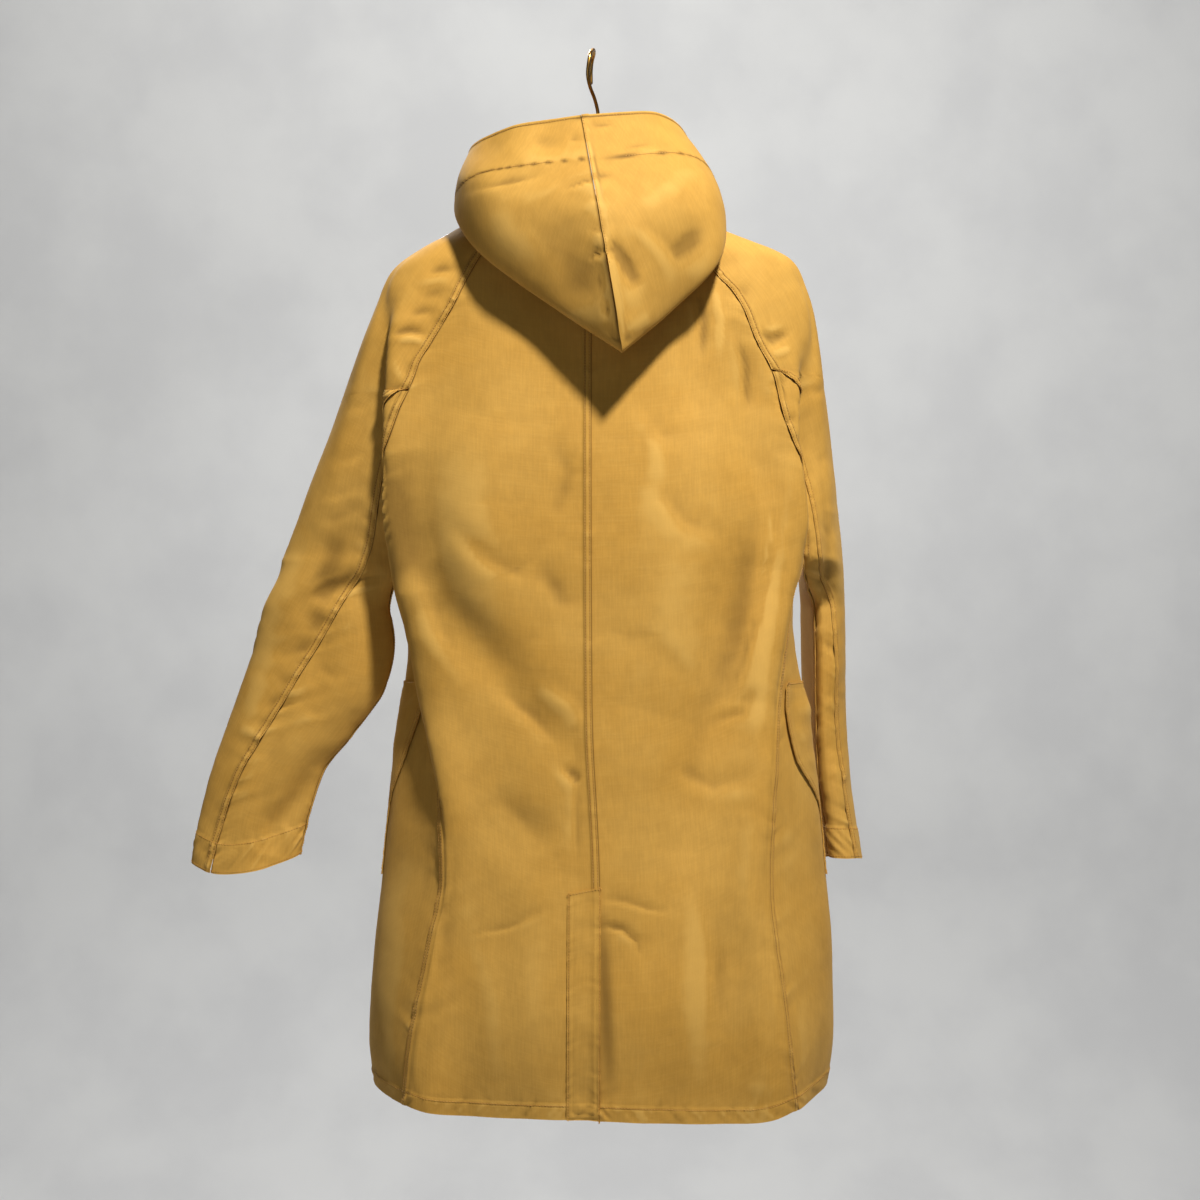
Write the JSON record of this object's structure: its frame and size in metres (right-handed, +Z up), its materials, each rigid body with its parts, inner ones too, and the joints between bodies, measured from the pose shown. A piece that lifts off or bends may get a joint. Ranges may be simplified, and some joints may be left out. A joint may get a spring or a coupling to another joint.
{
  "type": "parka on a hanger",
  "caption": "Hooded raglan-sleeved cotton parka with a back vent and side pockets, hanging from a wooden hanger with a wire hook.",
  "frame": {"origin": "inner top of the hook, where it rests on a rail", "axes": "+Z up, +Y out of the coat's front, so the coat's back faces -Y, and +X towards the wearer's right; a rail runs along X"},
  "size_m": [0.7492, 0.2945, 1.1576],
  "materials": {
    "mustard_cotton": "matte woven cotton",
    "brown_button": "satin",
    "hanger_wood": "satin varnish",
    "hook_brass": "polished"
  },
  "bodies": {
    "root": {"back_left": "mustard_cotton", "back_right": "mustard_cotton", "back_vent_strip": "mustard_cotton", "front_left": "mustard_cotton", "front_right": "mustard_cotton", "front_placket": "mustard_cotton", "pocket_left": "mustard_cotton", "pocket_right": "mustard_cotton", "sleeve_left_upper": "mustard_cotton", "sleeve_left_lower": "mustard_cotton", "sleeve_left_under": "mustard_cotton", "sleeve_right_upper": "mustard_cotton", "sleeve_right_lower": "mustard_cotton", "sleeve_right_under": "mustard_cotton", "hood_left": "mustard_cotton", "hood_right": "mustard_cotton", "button_1": "brown_button", "button_2": "brown_button", "button_3": "brown_button", "button_4": "brown_button", "button_5": "brown_button", "hanger_bar": "hanger_wood", "hanger_hook": "hook_brass"}
  },
  "joints": []
}
